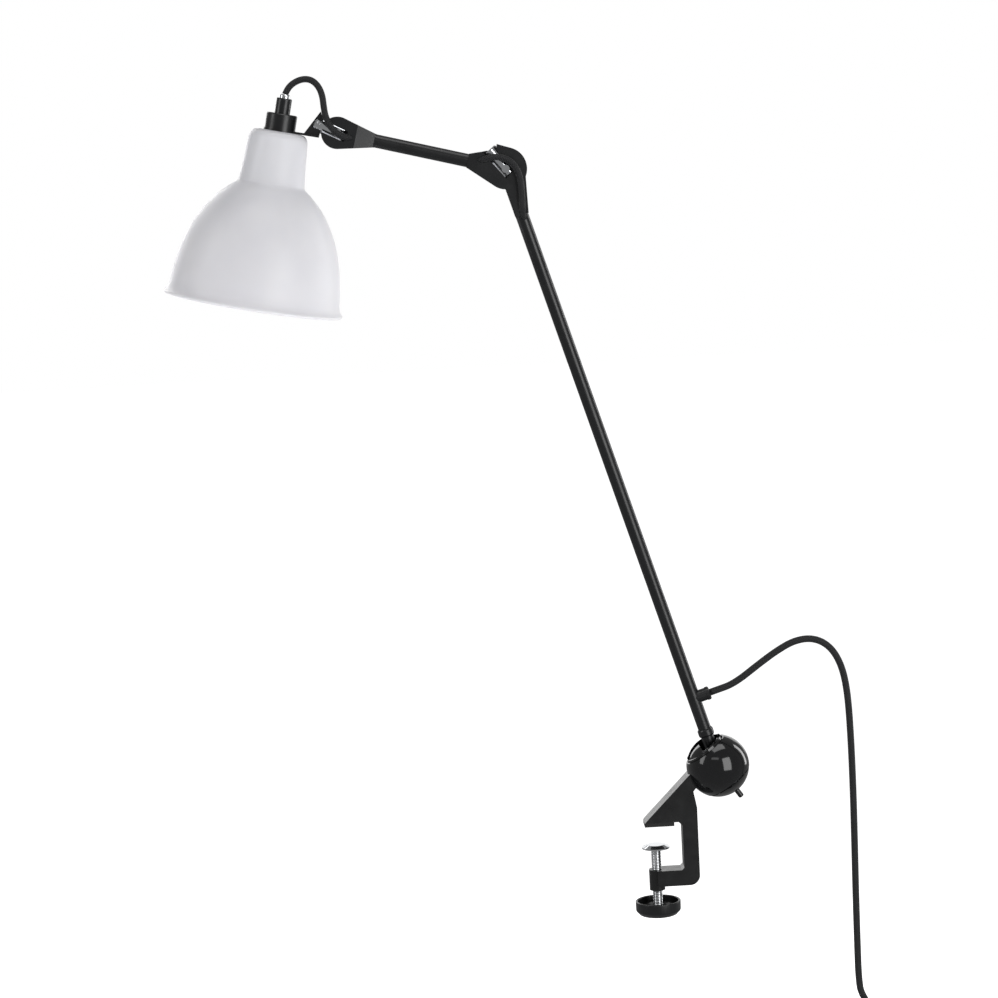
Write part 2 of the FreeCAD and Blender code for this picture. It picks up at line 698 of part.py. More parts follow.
# The head's lead leaves the short arm's fork, crosses in front of the barrel, rises in an
# arch and goes down into the grip. Places are from the shade's top, in the head's frame.
HEAD_LEAD = [(70.4, 0.0, 4.8), (63.6, -1.6, 4.9), (57.4, -5.2, 4.2), (50.6, -8.4, 3.4), (43.6, -9.4, 5.6),
             (37.8, -9.4, 10.4), (33.4, -8.8, 17.0), (30.8, -7.6, 24.6), (28.6, -5.8, 32.4),
             (24.6, -3.8, 38.8), (18.6, -2.0, 42.9), (11.8, -0.8, 42.6), (5.6, -0.1, 39.0),
             (1.2, 0.0, 33.6), (0.0, 0.0, 28.6)]


def head_bracket():
    """The thin plate under the collar and the gusset that holds the barrel."""
    reach = SIZES["plate_reach"]
    thick = SIZES["plate"]
    disc = cylinder("lower_collar + 0.6", "plate", Vector(0, 0, 0))
    arm = box("plate_reach", "14", "plate", Vector(0, -7, 0))
    level = thick / 2
    gusset = prism(lines([(18.6, level), (29.1, 20.0), (32.4, 14.0), (reach, level), (18.6, level)]), 9.6)
    nipple = cylinder("nipple", "10", Vector(0, 0, -2))
    pivot = Vector(SIZES["pivot_across"], 0, SIZES["pivot_up"])
    seat = cylinder("barrel_radius", "barrel_length", pivot - HEAD_BARREL * SIZES["barrel_pivot"], HEAD_BARREL)
    swing = cylinder("head_hub + 0.6", "40", Vector(pivot.x, -20, pivot.z), AXIS_Y)
    node(cut(fuse(disc, arm, gusset), nipple, seat, swing), "head_bracket", HEAD)


def holder_parts():
    turned("holder_collar",
           [("nipple", "plate"), ("lower_collar", "plate"), ("lower_collar", "lower_collar_end - 0.8"),
            ("lower_collar - 0.8", "lower_collar_end"), ("nipple", "lower_collar_end")], HEAD)
    turned("holder_neck",
           [("lead_bore", "lower_collar_end"), ("upper_neck", "lower_collar_end"),
            ("upper_neck", "upper_neck_end - 0.6"), ("upper_neck - 0.6", "upper_neck_end"),
            ("lead_bore", "upper_neck_end")], HEAD)
    turned("cord_grip",
           [("lead_bore", "upper_neck_end"), ("grip", "upper_neck_end"), ("grip", "grip_end - 0.8"),
            ("grip - 0.8", "grip_end"), ("lead_bore", "grip_end")], HEAD)
    turned("socket_nipple",
           [("lead_bore", "-6"), ("nipple", "-6"), ("nipple", "lower_collar_end"),
            ("lead_bore", "lower_collar_end")], HEAD)
    turned("socket_shell",
           [("nipple", "-shade_wall - 0.3"), ("socket_radius - 1", "-shade_wall - 0.3"),
            ("socket_radius", "-shade_wall - 1.3"), ("socket_radius", "-socket_end"),
            ("socket_radius - 1.6", "-socket_end"), ("socket_radius - 1.6", "-6"), ("nipple", "-6")], HEAD)
    turned("socket_insulator",
           [("0", "-insulator_top"), ("socket_radius - 1.7", "-insulator_top"),
            ("socket_radius - 1.7", "-insulator_end"), ("insulator_bore", "-insulator_end"),
            ("insulator_bore", "-insulator_floor"), ("0", "-insulator_floor")], HEAD)
    turned("socket_thread",
           [("thread_inner", "-insulator_floor - 2"), ("thread_outer", "-insulator_floor - 2"),
            ("thread_outer", "-insulator_end + 1"), ("thread_inner", "-insulator_end + 1")], HEAD)
    turned("centre_contact",
           [("0", "-insulator_floor"), ("2.4", "-insulator_floor"), ("1.8", "-bulb_cap_top + 0.1"),
            ("0", "-bulb_cap_top + 0.1")], HEAD)


def bulb():
    turned("bulb_cap",
           [("0", "-bulb_cap_top"), ("2.4", "-bulb_cap_top"), ("5", "-bulb_cap_top - 2.7"),
            ("bulb_cap_radius", "-bulb_cap_top - 3.3"), ("bulb_cap_radius", "-bulb_cap_end"),
            ("0", "-bulb_cap_end")], HEAD)
    centre = -SIZES["bulb_centre"]
    radius = SIZES["bulb_radius"]
    across, up = on_circle(radius, 62.0)
    top = Vector(0, 0, -SIZES["bulb_cap_end"])
    neck = top + AXIS_X * 8.4
    neck_middle = top + Vector(8.9, 0, -8)
    touch = Vector(across, 0, centre + up)
    bottom = Vector(0, 0, centre - radius)
    outline = [Part.makeLine(top, neck),
               Part.Arc(neck, neck_middle, touch).toShape(),
               Part.Arc(touch, Vector(radius, 0, centre), bottom).toShape(),
               Part.makeLine(bottom, top)]
    glass = Part.Face(Part.Wire(outline)).revolve(Vector(), AXIS_Z, 360)
    node(solid(glass, "bulb_glass"), "bulb_glass", HEAD)


def shade():
    """The blown bell with its neck and flared lip, open below."""
    height = SIZES["shade_height"]
    wall = SIZES["shade_wall"]
    top = SIZES["neck_top"]
    foot = SIZES["neck_foot"]
    bend = -SIZES["neck_height"]
    rim = SIZES["shade_rim"]
    shoulder = 7.0

    def skin(inset, top_level):
        """The outline's curved side, moved inwards by inset."""
        round_start = Vector(top - inset - shoulder, 0, top_level)
        round_end = Vector(top - inset, 0, top_level - shoulder)
        round_middle = Vector(top - inset - shoulder * 0.293, 0, top_level - shoulder * 0.293)
        belly = [Vector(r - inset, 0, z) for r, z in (
            (foot, bend), (32.6, bend - 4.6), (40.6, bend - 12.8), (48.6, bend - 23.6), (56.0, bend - 38.0),
            (61.6, bend - 55.0), (65.2, bend - 74.0), (66.6, bend - 84.0))]
        curve = Part.BSplineCurve()
        curve.interpolate(belly)
        last = Vector(rim - inset, 0, -height)
        return [Part.Arc(round_start, round_middle, round_end).toShape(),
                Part.makeLine(round_end, belly[0]), curve.toShape(), Part.makeLine(belly[-1], last)]

    outer = skin(0.0, 0.0)
    inner = skin(wall, -wall)

    def filled(side, level, bottom):
        start = side[0].Vertexes[0].Point
        end = side[-1].Vertexes[-1].Point
        ring = [Part.makeLine(Vector(0, 0, level), start)] + side
        ring += [Part.makeLine(end, Vector(end.x, 0, bottom))] if end.z != bottom else []
        ring += [Part.makeLine(Vector(end.x, 0, bottom), Vector(0, 0, bottom)),
                 Part.makeLine(Vector(0, 0, bottom), Vector(0, 0, level))]
        return Part.Face(Part.Wire(ring)).revolve(Vector(), AXIS_Z, 360)

    shell = filled(outer, 0.0, -height).cut(filled(inner, -wall, -height - 2))
    shell = shell.cut(Part.makeCylinder(SIZES["nipple"] + 0.1, 20, Vector(0, 0, -10)))
    node(solid(shell, "shade"), "shade", HEAD)


# ---- leads and power cord -------------------------------------------------

def leads():
    lead = SIZES["lead_radius"]
    route = placed(ARM_TOP, ELBOW_LEAD)
    node(solid(round_tube(route, lead, "elbow_lead"), "elbow_lead"), "elbow_lead")
    route = placed(HEAD, HEAD_LEAD)
    node(solid(round_tube(route, lead, "head_lead"), "head_lead"), "head_lead")
    arm = cylinder("lead_radius", f"arm_length - {-ELBOW_LEAD[-1][2]} - gland_at")
    node(arm, "long_arm_lead", ARM * FreeCAD.Placement(Vector(0, 0, SIZES["gland_at"]), FreeCAD.Rotation()))
    start = ARM_TOP.multVec(Vector(*ELBOW_LEAD[0]))
    end = HEAD.multVec(Vector(*HEAD_LEAD[0]))
    begin = SHORT.inverse().multVec(start)
    finish = SHORT.inverse().multVec(end)
    gap = 1.3
    rod = document.addObject("Part::Cylinder", "rod")
    bind(rod, Radius="lead_radius")
    rod.Height = begin.x - finish.x - 2 * gap
    back = FreeCAD.Placement(Vector(begin.x - gap, 0, 0), FreeCAD.Rotation(AXIS_Y, -90))
    node(rod, "short_arm_lead", SHORT * back)


CORD_START = (45.3, 0.0, 104.4)
CORD = [CORD_START, (53.0, 0.0, 106.6), (61.0, 0.0, 109.2), (70.4, 0.0, 114.4), (83.0, 0.0, 123.6),
        (98.0, 0.0, 134.0), (114.0, 0.0, 142.6), (130.0, 0.0, 143.6), (143.0, 0.0, 135.4), (151.0, 0.0, 119.6),
        (154.6, 0.0, 98.0), (155.8, 0.0, 66.0), (156.2, 0.0, 24.0), (155.8, 0.0, -22.0), (155.2, 0.0, -68.0),
        (155.0, 0.0, -114.0), (155.0, 0.0, -157.7)]


def power_cord():
    face = ARM.multVec(Vector(SIZES["gland_face"], 0, SIZES["gland_at"]))
    out = ARM.Rotation.multVec(AXIS_X)
    points = [Vector(*place) for place in CORD]
    points[0] = face
    points[1] = face + out * 8.0
    node(solid(round_tube(points, SIZES["cord_radius"], "power_cord"), "power_cord"), "power_cord")
    coil = document.addObject("Part::Torus", "coil")
    bind(coil, Radius1="coil_major", Radius2="coil_minor")
    middle = Vector(SIZES["coil_across"], 0, -SIZES["coil_down"])
    node(coil, "cord_coil", FreeCAD.Placement(middle, FreeCAD.Rotation(AXIS_Z, AXIS_Y)))


def plug():
    """The tail below the coil, the strain relief, the plug's body and its pins."""
    down = -SIZES["coil_down"] - SIZES["coil_major"] - SIZES["coil_minor"]
    place = FreeCAD.Placement(Vector(SIZES["coil_across"], 0, down), FreeCAD.Rotation())
    turned("cord_tail",
           [("0", "-0.4"), ("cord_radius", "-0.4"), ("cord_radius", "-tail_length"), ("0", "-tail_length")],
           place)
    turned("plug_relief",
           [("0", "-tail_length"), ("relief_top", "-tail_length"),
            ("relief_bottom", "-tail_length - relief_length"), ("0", "-tail_length - relief_length")], place)
    bottom = -SIZES["tail_length"] - SIZES["relief_length"] - SIZES["plug_long"]
    body = box("plug_wide", "plug_thick", "plug_long",
               Vector(-SIZES["plug_wide"] / 2, -SIZES["plug_thick"] / 2, bottom))
    rounded = document.addObject("Part::Fillet", "rounded")
    rounded.Base = body
    document.recompute()
    upright = [i + 1 for i, edge in enumerate(body.Shape.Edges)
               if abs(edge.tangentAt(edge.FirstParameter).z) > 0.9]
    rounded.Edges = [(i, 5.0, 5.0) for i in upright]
    node(rounded, "plug_body", place)
    pin_end = bottom - SIZES["plug_pin_long"]
    pins = [cylinder("plug_pin_radius", "plug_pin_long", Vector(side * SIZES["plug_pin_spread"], 0, pin_end))
            for side in (-1, 1)]
    pair = document.addObject("Part::Compound", "pair")
    pair.Links = pins
    node(pair, "plug_pins", place)


def build():
    clamp_frame()
    clamp_parts()
    ball_upper_cap()
    ball_parts()
    long_arm()
    long_arm_hook()
    along = barrel_axis_in_arm()
    elbow_barrel_start = ARM_TOP.multVec(along * -SIZES["barrel_pivot"])
    elbow_barrel = leaning(elbow_barrel_start, -SIZES["arm_lean"] - SIZES["barrel_lean"])
    barrel("elbow_barrel", elbow_barrel)
    pivot_screw("elbow_screw", ARM_TOP)
    pivot_nut("elbow_nut", ARM_TOP)
    short_arm()
    head_bracket()
    pivot = Vector(SIZES["pivot_across"], 0, SIZES["pivot_up"])
    head_start = HEAD.multVec(pivot - HEAD_BARREL * SIZES["barrel_pivot"])
    barrel("head_barrel", leaning(head_start, SIZES["head_lean"] - 90 + HEAD_BARREL_LEAN))
    head_hinge = FreeCAD.Placement(HEAD_PIVOT, HEAD_TURN)
    pivot_screw("head_screw", head_hinge)
    pivot_nut("head_nut", head_hinge)
    shade()
    holder_parts()
    bulb()
    leads()
    power_cord()
    plug()


def export():
    document.recompute()
    for thing in document.Objects:
        if "Invalid" in thing.State or "Error" in thing.State:
            raise RuntimeError(f"{thing.Name} ({thing.Label}) failed: {thing.State} {thing.getStatusString()}")
    os.makedirs("parts", exist_ok=True)
    for thing in NODES:
        shape = thing.Shape
        if shape.isNull() or not shape.isValid():
            raise RuntimeError(f"{thing.Label} has no valid shape")
        shape.exportStep(os.path.join("parts", thing.Label + ".step"))
        print(thing.Label, "solids", len(shape.Solids), "volume", round(shape.Volume, 1))


build()
export()
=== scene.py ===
# %% [markdown]
# A clamp-on desk lamp: two black arms, a split ball at the clamp and a bell shade of
# opal glass. The metal parts come from the CAD frame, which fixes every size, and this
# lesson gives them their finishes. What CAD leaves plain, such as the woven cord, the
# blown shade and the screw's thread, is built here as mesh and put in its place.

# %% Load the frame
import json
import math
import bmesh
import bpy
from mathutils import Matrix, Vector


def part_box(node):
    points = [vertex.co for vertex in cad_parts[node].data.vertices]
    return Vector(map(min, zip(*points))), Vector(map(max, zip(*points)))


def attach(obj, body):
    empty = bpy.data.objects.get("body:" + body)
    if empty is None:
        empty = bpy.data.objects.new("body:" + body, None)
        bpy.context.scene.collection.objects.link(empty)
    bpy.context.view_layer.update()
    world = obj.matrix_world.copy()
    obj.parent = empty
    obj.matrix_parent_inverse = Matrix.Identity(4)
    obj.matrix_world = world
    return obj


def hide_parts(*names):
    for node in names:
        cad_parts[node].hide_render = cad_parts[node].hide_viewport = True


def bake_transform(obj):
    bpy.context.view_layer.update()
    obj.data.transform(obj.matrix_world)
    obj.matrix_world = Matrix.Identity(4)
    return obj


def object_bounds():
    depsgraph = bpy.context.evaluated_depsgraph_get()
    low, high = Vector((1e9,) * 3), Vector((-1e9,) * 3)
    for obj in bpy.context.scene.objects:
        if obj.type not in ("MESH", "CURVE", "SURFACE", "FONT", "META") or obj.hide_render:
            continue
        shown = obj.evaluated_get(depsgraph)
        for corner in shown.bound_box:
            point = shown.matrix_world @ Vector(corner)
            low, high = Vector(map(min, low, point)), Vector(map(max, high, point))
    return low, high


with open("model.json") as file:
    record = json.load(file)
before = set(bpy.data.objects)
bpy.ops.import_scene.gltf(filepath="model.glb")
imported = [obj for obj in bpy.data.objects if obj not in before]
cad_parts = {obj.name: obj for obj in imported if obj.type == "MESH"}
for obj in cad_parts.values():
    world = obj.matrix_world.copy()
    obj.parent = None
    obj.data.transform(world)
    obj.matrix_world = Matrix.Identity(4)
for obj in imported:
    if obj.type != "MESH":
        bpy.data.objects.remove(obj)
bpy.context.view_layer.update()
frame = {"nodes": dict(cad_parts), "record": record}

MM = 0.001
NODES = frame["nodes"]
JOINTS = {joint["name"]: joint for joint in frame["record"]["behaviour"]["joints"]}

# %% [markdown]
# The camera stands far back with a long lens, as for a catalogue picture, which keeps
# the arms' angles true. It is a little above the lamp and tipped down, and a small roll
# makes the whole lamp lean.

# %% Camera
CAMERA_PLACE = Vector((-0.168, -2.4, 0.571))
CAMERA_PITCH = math.radians(-7.2)
CAMERA_YAW = math.radians(-1.29)
CAMERA_ROLL = math.radians(-2.925)
LENS_MM = 111.2

camera_data = bpy.data.cameras.new("camera")
camera_data.lens = LENS_MM
camera_data.sensor_width = 36.0
camera_data.clip_end = 100.0
camera = bpy.data.objects.new("camera", camera_data)
bpy.context.scene.collection.objects.link(camera)
camera.matrix_world = (Matrix.Translation(CAMERA_PLACE) @ Matrix.Rotation(CAMERA_YAW, 4, "Z")
                       @ Matrix.Rotation(math.radians(90) + CAMERA_PITCH, 4, "X")
                       @ Matrix.Rotation(CAMERA_ROLL, 4, "Z"))
bpy.context.scene.camera = camera
print("camera at", tuple(camera.location))

# %% [markdown]
# Each arm is easiest to work on in its own frame. A frame here is a matrix that stands
# at a hinge and leans with the arm; the hinge places come from the record's joints.

# %% Frames of the lamp's parts
ARM_LEAN = math.radians(-16.8)
SHORT_RISE = math.radians(14.9)
HEAD_LEAN = math.radians(12.1)


def standing(place, lean):
    """A frame at a place, turned about the lamp's Y axis."""
    return Matrix.Translation(place) @ Matrix.Rotation(lean, 4, "Y")


BALL_PLACE = Vector(JOINTS["arm_tilt"]["pos_m"])
ELBOW_PLACE = Vector(JOINTS["elbow"]["pos_m"])
HEAD_PLACE = Vector(JOINTS["head_tilt"]["pos_m"])
ARM = standing(BALL_PLACE, ARM_LEAN)
ARM_TOP = standing(ELBOW_PLACE, ARM_LEAN)
PIVOT_FROM_SHADE = Vector((44.2, 0.0, 6.0)) * MM
HEAD = standing(HEAD_PLACE, HEAD_LEAN) @ Matrix.Translation(-PIVOT_FROM_SHADE)
print("shade top at", [round(v, 4) for v in HEAD.translation])

# %% [markdown]
# A cord is one smooth line first and a tube second. The line is a NURBS curve whose
# control points are the places a hand would guide the cord through. Blender turns it
# into a polyline, and the tube's rings are carried along that line without twisting.
# The tube gets a UV map with one unit round it and metres along it, for the weave.

# %% Smooth routes and woven tubes
def smooth_line(name, points):
    """The points of a NURBS curve through control points given in metres."""
    curve = bpy.data.curves.new(name, "CURVE")
    curve.dimensions = "3D"
    curve.resolution_u = 6
    spline = curve.splines.new("NURBS")
    spline.points.add(len(points) - 1)
    for held, point in zip(spline.points, points):
        held.co = (*point, 1.0)
    spline.order_u = 3
    spline.use_endpoint_u = True
    holder = bpy.data.objects.new(name, curve)
    bpy.context.scene.collection.objects.link(holder)
    mesh = bpy.data.meshes.new_from_object(holder)
    line = [vertex.co.copy() for vertex in mesh.vertices]
    bpy.data.objects.remove(holder)
    bpy.data.meshes.remove(mesh)
    bpy.data.curves.remove(curve)
    return line


def link_mesh(name, build):
    """A new smooth object from a bmesh."""
    mesh = bpy.data.meshes.new(name)
    bmesh.ops.recalc_face_normals(build, faces=build.faces)
    build.to_mesh(mesh)
    build.free()
    for face in mesh.polygons:
        face.use_smooth = True
    thing = bpy.data.objects.new(name, mesh)
    bpy.context.scene.collection.objects.link(thing)
    return thing


def tube_along(name, line, radius, around=20):
    """A closed tube whose rings follow a line without twisting."""
    build = bmesh.new()
    weave = build.loops.layers.uv.new("weave")
    side = Vector((0, 1, 0))
    rings = []
    travelled = [0.0]
    for before, after in zip(line, line[1:]):
        travelled.append(travelled[-1] + (after - before).length)
    for index, point in enumerate(line):
        ahead = line[min(index + 1, len(line) - 1)] - line[max(index - 1, 0)]
        ahead.normalize()
        side = (side - ahead * side.dot(ahead)).normalized()
        up = ahead.cross(side)
        ring = []
        for step in range(around):
            turn = 2 * math.pi * step / around
            ring.append(build.verts.new(point + (side * math.cos(turn) + up * math.sin(turn)) * radius))
        rings.append(ring)
    for index in range(len(rings) - 1):
        for step in range(around):
            near, far = step, (step + 1) % around
            face = build.faces.new((rings[index][near], rings[index][far],
                                    rings[index + 1][far], rings[index + 1][near]))
            marks = ((step, index), (step + 1, index), (step + 1, index + 1), (step, index + 1))
            for loop, (u, v) in zip(face.loops, marks):
                loop[weave].uv = (u / around, travelled[v])
    build.faces.new(rings[0])
    build.faces.new(rings[-1])
    print(name, "length", round(travelled[-1], 4), "m")
    return link_mesh(name, build), travelled[-1]


def in_frame(matrix, places):
    """Places in millimetres, taken from a frame to the lamp's own metres."""
    return [matrix @ (Vector(place) * MM) for place in places]


# %% [markdown]
# The power cord leaves the gland on the long arm, stands out stiffly, arches over and
# hangs. It is about 1.8 m long in all, so what is not in use is wound into one coil,
# tied, with the plug below. The coil's turns lie beside each other
# like the strands of a rope: each turn moves one place round a hexagon.

# %% Power cord with its coil
CORD_RADIUS = 2.75 * MM
GLAND_FACE = ARM @ (Vector((13.5, 0.0, 58.0)) * MM)
CORD_OUT = ARM.to_3x3() @ Vector((1, 0, 0))
CORD_POINTS = [(61.0, 0.0, 109.2), (70.4, 0.0, 114.4), (83.0, 0.0, 123.6), (98.0, 0.0, 134.0),
               (114.0, 0.0, 142.6), (130.0, 0.0, 143.6), (143.0, 0.0, 135.4), (151.0, 0.0, 119.6),
               (154.6, 0.0, 98.0), (155.8, 0.0, 66.0), (156.2, 0.0, 24.0), (155.8, 0.0, -22.0),
               (155.2, 0.0, -68.0), (155.0, 0.0, -110.0), (155.0, 0.0, -134.0), (156.6, 0.0, -150.0)]
COIL_CENTRE = Vector((155.0, 0.0, -200.0))
COIL_RADIUS = 33.6
STRAND_PLACE = 6.3
POINTS_PER_TURN = 16
FIRST_ANGLE = 55.0
TURNS = 6.3
TO_MIDDLE_FROM = 5.2
TO_MIDDLE_TURNS = 0.6
TURN_SHIFT = 60


def strand_offset(turn):
    """How far a turn lies out from, and beside, the coil's middle line."""
    corner = math.floor(turn)
    share = turn - corner

    def place(number):
        angle = math.radians(TURN_SHIFT * number)
        return Vector((math.sin(angle), -math.cos(angle))) * STRAND_PLACE

    offset = place(corner).lerp(place(corner + 1), share)
    if turn > TO_MIDDLE_FROM:
        offset = offset.lerp(Vector((0, 0)), min(1.0, (turn - TO_MIDDLE_FROM) / TO_MIDDLE_TURNS))
    return offset


coil_points = []
for step in range(int(TURNS * POINTS_PER_TURN) + 1):
    turn = step / POINTS_PER_TURN
    angle = math.radians(FIRST_ANGLE - 360 * turn)
    outward, beside = strand_offset(turn)
    reach = COIL_RADIUS + outward
    coil_points.append(COIL_CENTRE + Vector((reach * math.cos(angle), beside, reach * math.sin(angle))))
TAIL_POINTS = [(158.4, 0.0, -241.4), (155.2, 0.0, -249.4), (155.0, 0.0, -256.0)]
cord_points = [GLAND_FACE, GLAND_FACE + CORD_OUT * 8 * MM] + [Vector(p) * MM for p in CORD_POINTS]
cord_points += [p * MM for p in coil_points] + [Vector(p) * MM for p in TAIL_POINTS]
cord_line = smooth_line("cord_line", cord_points)
power_cord, cord_length = tube_along("woven_power_cord", cord_line, CORD_RADIUS, 18)

# %% [markdown]
# Two short leads carry the current past the joints, where the real lamp lets them loop
# out in the open. They are made as the cord is, a little thinner.

# %% Leads past the elbow and the head
LEAD_RADIUS = 2.5 * MM
ELBOW_LEAD = [(-26.6, 0.0, 16.0), (-22.0, -2.2, 14.6), (-17.4, -5.8, 13.4), (-12.0, -8.6, 12.6),
              (-5.6, -9.2, 11.9), (0.6, -9.1, 9.2), (5.4, -8.9, 4.4), (8.0, -8.8, -2.0),
              (8.2, -8.8, -9.4), (6.8, -8.7, -17.0), (4.6, -8.1, -24.6), (2.4, -6.6, -31.8),
              (0.8, -3.6, -38.4), (0.0, -1.0, -45.4), (0.0, 0.0, -52.6)]
HEAD_LEAD = [(70.4, 0.0, 4.8), (63.6, -1.6, 4.9), (57.4, -5.2, 4.2), (50.6, -8.4, 3.4), (43.6, -9.4, 5.6),
             (37.8, -9.4, 10.4), (33.4, -8.8, 17.0), (30.8, -7.6, 24.6), (28.6, -5.8, 32.4),
             (24.6, -3.8, 38.8), (18.6, -2.0, 42.9), (11.8, -0.8, 42.6), (5.6, -0.1, 39.0),
             (1.2, 0.0, 33.6), (0.0, 0.0, 28.6)]
elbow_line = smooth_line("elbow_line", in_frame(ARM_TOP, ELBOW_LEAD))
elbow_lead, _ = tube_along("woven_elbow_lead", elbow_line, LEAD_RADIUS)
head_line = smooth_line("head_line", in_frame(HEAD, HEAD_LEAD))
head_lead, _ = tube_along("woven_head_lead", head_line, LEAD_RADIUS)

# %% [markdown]
# A colour in a paint chart is an sRGB value, but the shader works with linear light, so
# one function turns hex values to linear. Another small function adds a shader node
# with its settings and wires, and every finish below is built with just these two.

# %% Colour and shader helpers
def linear(hex_value):
    """sRGB hex to linear RGBA."""
    parts = [int(hex_value[i:i + 2], 16) / 255 for i in (1, 3, 5)]
    return tuple(c / 12.92 if c <= 0.04045 else ((c + 0.055) / 1.055) ** 2.4 for c in parts) + (1.0,)


def add(tree, kind, inputs=None, **settings):
    """Add a node, set its values and link the sockets it is given."""
    made = tree.nodes.new("ShaderNode" + kind)
    for name, value in settings.items():
        setattr(made, name, value)
    for name, value in (inputs or {}).items():
        if isinstance(value, bpy.types.NodeSocket):
            tree.links.new(value, made.inputs[name])
        else:
            made.inputs[name].default_value = value
    return made


def finish_named(name, **values):
    """A new material with one Principled shader; returns it with its tree and shader."""
    material = bpy.data.materials.new(name)
    material.use_nodes = True
    tree = material.node_tree
    tree.nodes.clear()
    shader = add(tree, "BsdfPrincipled", {key.replace("_", " "): value for key, value in values.items()})
    add(tree, "OutputMaterial", {"Surface": shader.outputs["BSDF"]})
    return material, tree, shader


def per_mm(size):
    """A texture scale whose features are about this many millimetres across."""
    return 1000.0 / size


def grain(tree, size, detail=3.0, roughness=0.5):
    """Noise with features of this size in millimetres, fixed to the object."""
    place = add(tree, "TexCoord").outputs["Object"]
    return add(tree, "TexNoise", {"Vector": place, "Scale": per_mm(size), "Detail": detail,
                                  "Roughness": roughness}).outputs["Fac"]


def spread(tree, value, low, high):
    """Stretch a 0 to 1 value to run from low to high."""
    return add(tree, "MapRange", {"Value": value, "From Min": 0.3, "From Max": 0.7,
                                  "To Min": low, "To Max": high}).outputs["Result"]


def raise_surface(tree, shader, height, distance, strength=1.0):
    """Bump the surface by a height value."""
    bump = add(tree, "Bump", {"Height": height, "Distance": distance, "Strength": strength})
    tree.links.new(bump.outputs["Normal"], shader.inputs["Normal"])


def tone(tree, shader, value, dark, light):
    """Vary the base colour between two hex tones."""
    mix = add(tree, "Mix", data_type="RGBA")
    tree.links.new(value, mix.inputs["Factor"])
    mix.inputs["A"].default_value = linear(dark)
    mix.inputs["B"].default_value = linear(light)
    tree.links.new(mix.outputs["Result"], shader.inputs["Base Color"])


# %% [markdown]
# The arms, forks and holder are steel with a satin black powder coat. Powder melts into
# a film with a very fine orange peel, so light breaks up softly on it. The noise of
# 0.6 mm gives the peel; a wider one moves the gloss a little, as handling does.

# %% Satin black powder coat on steel
satin_black, tree, shader = finish_named("satin_black_powder_coat", Roughness=0.36, IOR=1.5, Coat_Weight=0.12,
                                         Coat_Roughness=0.25)
tone(tree, shader, grain(tree, 9.0), "#0b0c0d", "#121315")
tree.links.new(spread(tree, grain(tree, 14.0), 0.27, 0.37), shader.inputs["Roughness"])
raise_surface(tree, shader, grain(tree, 0.6, 2.0), 0.00004, 0.5)

# %% [markdown]
# The clamp is a casting under thicker paint. The sand of the mould leaves shallow waves
# that paint softens but does not hide, so its bump is coarser than the tube's. The ball
# at its top is one casting with it, but it was turned, filled and polished before the
# last coat. A distance from the ball's middle tells the shader where the polish starts.

# %% Black paint on cast iron, polished on the ball
POLISHED_REACH = 25.6 * MM
POLISH_FADE = 0.8 * MM
cast_black, tree, shader = finish_named("black_paint_on_cast_iron", Roughness=0.35, IOR=1.5, Coat_Weight=0.3,
                                        Coat_Roughness=0.08)
tone(tree, shader, grain(tree, 6.0), "#060607", "#0d0e0f")
here = add(tree, "TexCoord").outputs["Object"]
from_ball = add(tree, "VectorMath", {0: here, 1: BALL_PLACE}, operation="DISTANCE").outputs["Value"]
rough_cast = add(tree, "MapRange", {"Value": from_ball, "From Min": POLISHED_REACH,
                                    "From Max": POLISHED_REACH + POLISH_FADE}).outputs["Result"]
sand_gloss = spread(tree, grain(tree, 10.0), 0.26, 0.42)
roughness = add(tree, "MapRange", {"Value": rough_cast, "To Min": 0.1,
                                   "To Max": sand_gloss}).outputs["Result"]
tree.links.new(roughness, shader.inputs["Roughness"])
waves = add(tree, "Math", {0: grain(tree, 1.6, 4.0), 1: rough_cast}, operation="MULTIPLY").outputs[0]
raise_surface(tree, shader, waves, 0.0001, 0.4)

# %% [markdown]
# The caps above and below that belt turn inside it. They wear the same lacquer at its
# glossiest, and mirror the studio lights as clear shapes.

# %% Gloss black lacquer
gloss_black, tree, shader = finish_named("gloss_black_lacquer", Roughness=0.1, IOR=1.52, Coat_Weight=0.5,
                                         Coat_Roughness=0.03)
tone(tree, shader, grain(tree, 12.0), "#030304", "#070708")
tree.links.new(spread(tree, grain(tree, 5.0), 0.08, 0.12), shader.inputs["Roughness"])
raise_surface(tree, shader, grain(tree, 3.0, 2.0), 0.00003, 0.2)

# %% [markdown]
# Chrome plate is a metal mirror with fine polishing marks. A metal keeps the default
# index of refraction; its colour carries the reflection.

# %% Chrome plate
chrome, tree, shader = finish_named("chrome_plate", Metallic=1.0, Roughness=0.1)
tone(tree, shader, grain(tree, 4.0), "#d9dbde", "#eceef0")
tree.links.new(spread(tree, grain(tree, 2.0, 5.0), 0.07, 0.17), shader.inputs["Roughness"])
raise_surface(tree, shader, grain(tree, 0.5, 2.0), 0.00001, 0.3)

# %% [markdown]
# Parts inside the joints are bare turned steel. The cutter leaves fine marks, which make
# it duller than chrome, so its roughness is higher and its grain is finer.

# %% Machined steel for the foot, the pin, the washer and the nipple
steel, tree, shader = finish_named("machined_steel", Metallic=1.0, Roughness=0.3)
tone(tree, shader, grain(tree, 3.0), "#8f9194", "#aeb0b3")
tree.links.new(spread(tree, grain(tree, 1.2, 4.0), 0.24, 0.4), shader.inputs["Roughness"])
raise_surface(tree, shader, grain(tree, 0.4, 2.0), 0.00002, 0.5)

# %% [markdown]
# Nickel on brass is what plug pins and bulb caps often have. It is a metal too, a little
# warmer in colour than chrome and less sharp in its reflections.

